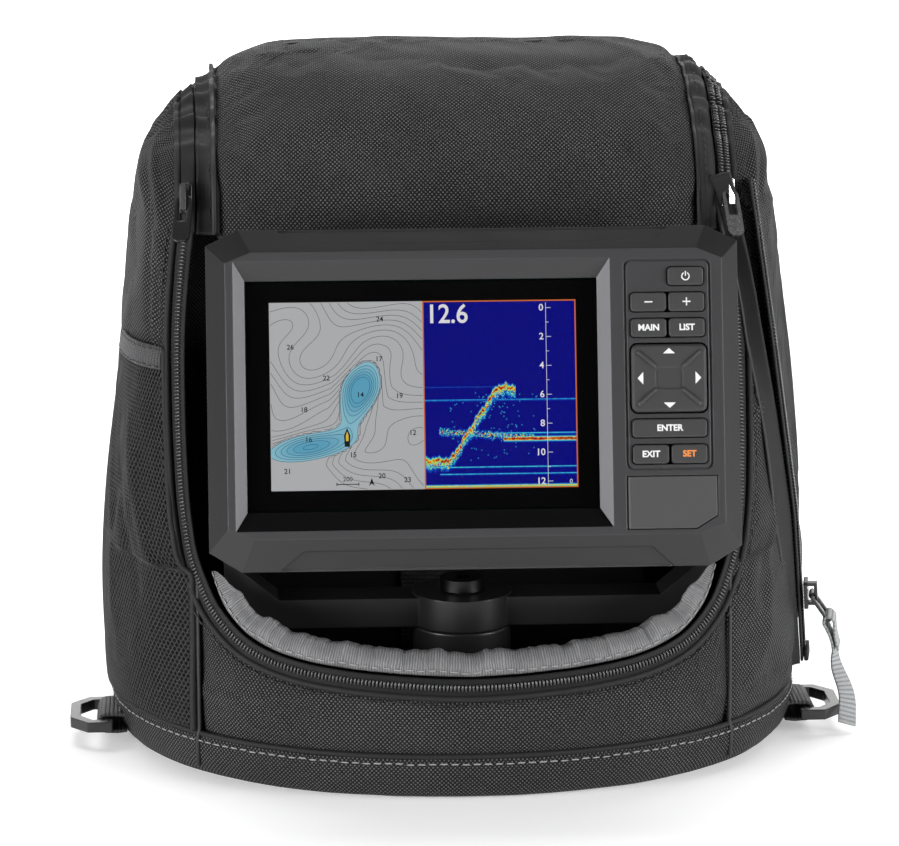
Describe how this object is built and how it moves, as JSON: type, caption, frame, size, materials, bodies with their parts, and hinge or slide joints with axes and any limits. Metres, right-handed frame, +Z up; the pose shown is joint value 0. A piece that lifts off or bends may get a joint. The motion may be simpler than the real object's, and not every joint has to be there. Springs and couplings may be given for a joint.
{
  "type": "portable fish finder kit",
  "caption": "Portable fish finder: a keyed screen head on a tilting cradle and swivelling bail, standing in a soft domed carry bag with battery, transducer and cables.",
  "frame": {"origin": "centre of the carry bag's rest face on the ground", "axes": "+Z up, -Y towards the person reading the screen, +X to that person's right"},
  "size_m": [0.2942, 0.197, 0.2522],
  "materials": {
    "black_fabric": "coarse basket weave nylon, matte",
    "base_fabric": "coarse nylon, matte",
    "mesh_fabric": "open knitted mesh",
    "liner_fabric": "smooth grey nylon",
    "zip_tape": "coil zip",
    "webbing_black": "ribbed webbing",
    "webbing_grey": "ribbed webbing",
    "ring_plastic": "moulded",
    "slider_metal": "cast and plated",
    "pull_black": "black enamel",
    "case_plastic": "fine spark texture",
    "keypad_plastic": "moulded silicone",
    "door_plastic": "fine spark texture",
    "inner_plastic": "moulded",
    "rubber_black": "moulded",
    "screen_glass": "polished",
    "lcd": "display module",
    "board": "solder mask",
    "steel": "machined",
    "bracket_plastic": "glass filled nylon",
    "tray_plastic": "moulded",
    "battery_case": "moulded ABS",
    "transducer_body": "moulded",
    "cable_jacket": "extruded"
  },
  "bodies": {
    "bag": {"bag_boot": "base_fabric", "front_panel": "black_fabric", "side_panel_left": "black_fabric", "side_panel_right": "black_fabric", "back_panel": "black_fabric", "liner_collar": "liner_fabric", "main_zip_track": "zip_tape", "pocket_zip_track": "zip_tape", "mesh_pocket": "mesh_fabric", "zip_pocket": "black_fabric", "strap_loops": "webbing_black", "swivel_base": "bracket_plastic", "swivel_bolt": "steel", "base_screws": "steel", "base_tray": "tray_plastic", "battery": "battery_case", "battery_strap": "webbing_black", "power_cable": "cable_jacket", "transducer": "transducer_body", "transducer_cable": "cable_jacket"},
    "bail": {"bail_bracket": "bracket_plastic"},
    "cradle": {"cradle": "bracket_plastic", "latch_pin": "steel", "cradle_plug": "bracket_plastic"},
    "latch": {"cradle_latch": "bracket_plastic"},
    "knob_left": {"tilt_knob_left": "bracket_plastic"},
    "knob_right": {"tilt_knob_right": "bracket_plastic"},
    "head": {"front_housing": "case_plastic", "rear_housing": "case_plastic", "housing_seal": "rubber_black", "housing_screws": "steel", "lens_glass": "screen_glass", "lcd_module": "lcd", "main_board": "board", "keypad_membrane": "rubber_black", "keypad_board": "board", "card_socket": "inner_plastic", "gps_antenna": "inner_plastic", "contact_block": "inner_plastic"},
    "door": {"card_door": "door_plastic"},
    "dpad_base": {"dpad_pivot": "inner_plastic"},
    "dpad": {"dpad_rocker": "keypad_plastic"},
    "ring_left": {"d_ring_left": "ring_plastic"},
    "ring_right": {"d_ring_right": "ring_plastic"},
    "slider_left": {"main_slider_left": "slider_metal"},
    "slider_right": {"main_slider_right": "slider_metal"},
    "pull_left": {"main_pull_left": "pull_black"},
    "pull_right": {"main_pull_right": "slider_metal"},
    "pocket_runner": {"pocket_slider": "slider_metal"},
    "pocket_tag": {"pocket_pull": "pull_black"},
    "strap": {"pull_strap": "webbing_grey"},
    "hood": {"hood_panel": "black_fabric"},
    "key_power": {"key_power": "keypad_plastic"},
    "key_minus": {"key_minus": "keypad_plastic"},
    "key_plus": {"key_plus": "keypad_plastic"},
    "key_home": {"key_home": "keypad_plastic"},
    "key_menu": {"key_menu": "keypad_plastic"},
    "key_select": {"key_select": "keypad_plastic"},
    "key_back": {"key_back": "keypad_plastic"},
    "key_mark": {"key_mark": "keypad_plastic"}
  },
  "joints": [
    {"name": "bail_swivel", "type": "hinge", "parent": "bag", "child": "bail", "pos_m": [0, -0.048, 0.057], "axis": [0, 0, 1], "range_deg": [-4, 4]},
    {"name": "head_tilt", "type": "hinge", "parent": "bail", "child": "cradle", "pos_m": [0.0025, -0.04788, 0.13112], "axis": [1, 0, 0], "range_deg": [-8, 8]},
    {"name": "latch_lift", "type": "hinge", "parent": "cradle", "child": "latch", "pos_m": [0.0025, -0.02428, 0.14964], "axis": [-1, 0, 0], "range_deg": [0, 12], "stiffness_Nm_per_rad": 0.05},
    {"name": "head_release", "type": "slide", "parent": "cradle", "child": "head", "axis": [0, -0.9659, 0.2588], "range_m": [0, 0.03]},
    {"name": "knob_left_turn", "type": "hinge", "parent": "bail", "child": "knob_left", "pos_m": [-0.0864, -0.04788, 0.13112], "axis": [1, 0, 0], "continuous": true},
    {"name": "knob_right_turn", "type": "hinge", "parent": "bail", "child": "knob_right", "pos_m": [0.0914, -0.04788, 0.13112], "axis": [1, 0, 0], "continuous": true},
    {"name": "card_door_open", "type": "hinge", "parent": "head", "child": "door", "pos_m": [0.0563, -0.09471, 0.1066], "axis": [0, -0.2588, -0.9659], "range_deg": [0, 100]},
    {"name": "dpad_roll", "type": "hinge", "parent": "head", "child": "dpad_base", "pos_m": [0.0704, -0.07949, 0.14761], "axis": [0, 0.2588, 0.9659], "range_deg": [-3, 3], "stiffness_Nm_per_rad": 0.2},
    {"name": "dpad_pitch", "type": "hinge", "parent": "dpad_base", "child": "dpad", "pos_m": [0.0704, -0.07949, 0.14761], "axis": [1, 0, 0], "range_deg": [-3, 3], "stiffness_Nm_per_rad": 0.2},
    {"name": "press_power", "type": "slide", "parent": "head", "child": "key_power", "axis": [0, 0.9659, -0.2588], "range_m": [0, 0.0008], "stiffness_N_per_m": 900},
    {"name": "press_minus", "type": "slide", "parent": "head", "child": "key_minus", "axis": [0, 0.9659, -0.2588], "range_m": [0, 0.0008], "stiffness_N_per_m": 900},
    {"name": "press_plus", "type": "slide", "parent": "head", "child": "key_plus", "axis": [0, 0.9659, -0.2588], "range_m": [0, 0.0008], "stiffness_N_per_m": 900},
    {"name": "press_home", "type": "slide", "parent": "head", "child": "key_home", "axis": [0, 0.9659, -0.2588], "range_m": [0, 0.0008], "stiffness_N_per_m": 900},
    {"name": "press_menu", "type": "slide", "parent": "head", "child": "key_menu", "axis": [0, 0.9659, -0.2588], "range_m": [0, 0.0008], "stiffness_N_per_m": 900},
    {"name": "press_select", "type": "slide", "parent": "head", "child": "key_select", "axis": [0, 0.9659, -0.2588], "range_m": [0, 0.0008], "stiffness_N_per_m": 900},
    {"name": "press_back", "type": "slide", "parent": "head", "child": "key_back", "axis": [0, 0.9659, -0.2588], "range_m": [0, 0.0008], "stiffness_N_per_m": 900},
    {"name": "press_mark", "type": "slide", "parent": "head", "child": "key_mark", "axis": [0, 0.9659, -0.2588], "range_m": [0, 0.0008], "stiffness_N_per_m": 900},
    {"name": "ring_left_flip", "type": "hinge", "parent": "bag", "child": "ring_left", "pos_m": [-0.1294, -0.014, 0.0084], "axis": [0, 1, 0], "range_deg": [0, 60]},
    {"name": "ring_right_flip", "type": "hinge", "parent": "bag", "child": "ring_right", "pos_m": [0.1294, -0.014, 0.0084], "axis": [0, -1, 0], "range_deg": [0, 60]},
    {"name": "zip_left_run", "type": "slide", "parent": "bag", "child": "slider_left", "axis": [0, 0.2951, 0.9555], "range_m": [-0.012, 0.006]},
    {"name": "zip_left_pull_swing", "type": "hinge", "parent": "slider_left", "child": "pull_left", "pos_m": [-0.09834, -0.02459, 0.20425], "axis": [-0.9534, 0.2881, -0.089], "range_deg": [-10, 60]},
    {"name": "zip_right_run", "type": "slide", "parent": "bag", "child": "slider_right", "axis": [0, 0.2951, 0.9555], "range_m": [-0.012, 0.006]},
    {"name": "zip_right_pull_swing", "type": "hinge", "parent": "slider_right", "child": "pull_right", "pos_m": [0.09834, -0.02459, 0.20425], "axis": [-0.9534, -0.2881, 0.089], "range_deg": [-10, 60]},
    {"name": "pocket_zip_run", "type": "slide", "parent": "bag", "child": "pocket_runner", "axis": [-0.0927, -0.1855, 0.9783], "range_m": [0, 0.03]},
    {"name": "pocket_pull_swing", "type": "hinge", "parent": "pocket_runner", "child": "pocket_tag", "pos_m": [0.13206, -0.01781, 0.05175], "axis": [-0.2047, -0.9579, -0.2011], "range_deg": [0, 35]},
    {"name": "pull_strap_swing", "type": "hinge", "parent": "pocket_tag", "child": "strap", "pos_m": [0.13896, -0.01721, 0.04182], "axis": [-0.2047, -0.9579, -0.2011], "range_deg": [0, 50]},
    {"name": "hood_open", "type": "hinge", "parent": "bag", "child": "hood", "pos_m": [0, 0.057, 0.253], "axis": [-1, 0, 0], "range_deg": [0, 100]}
  ]
}
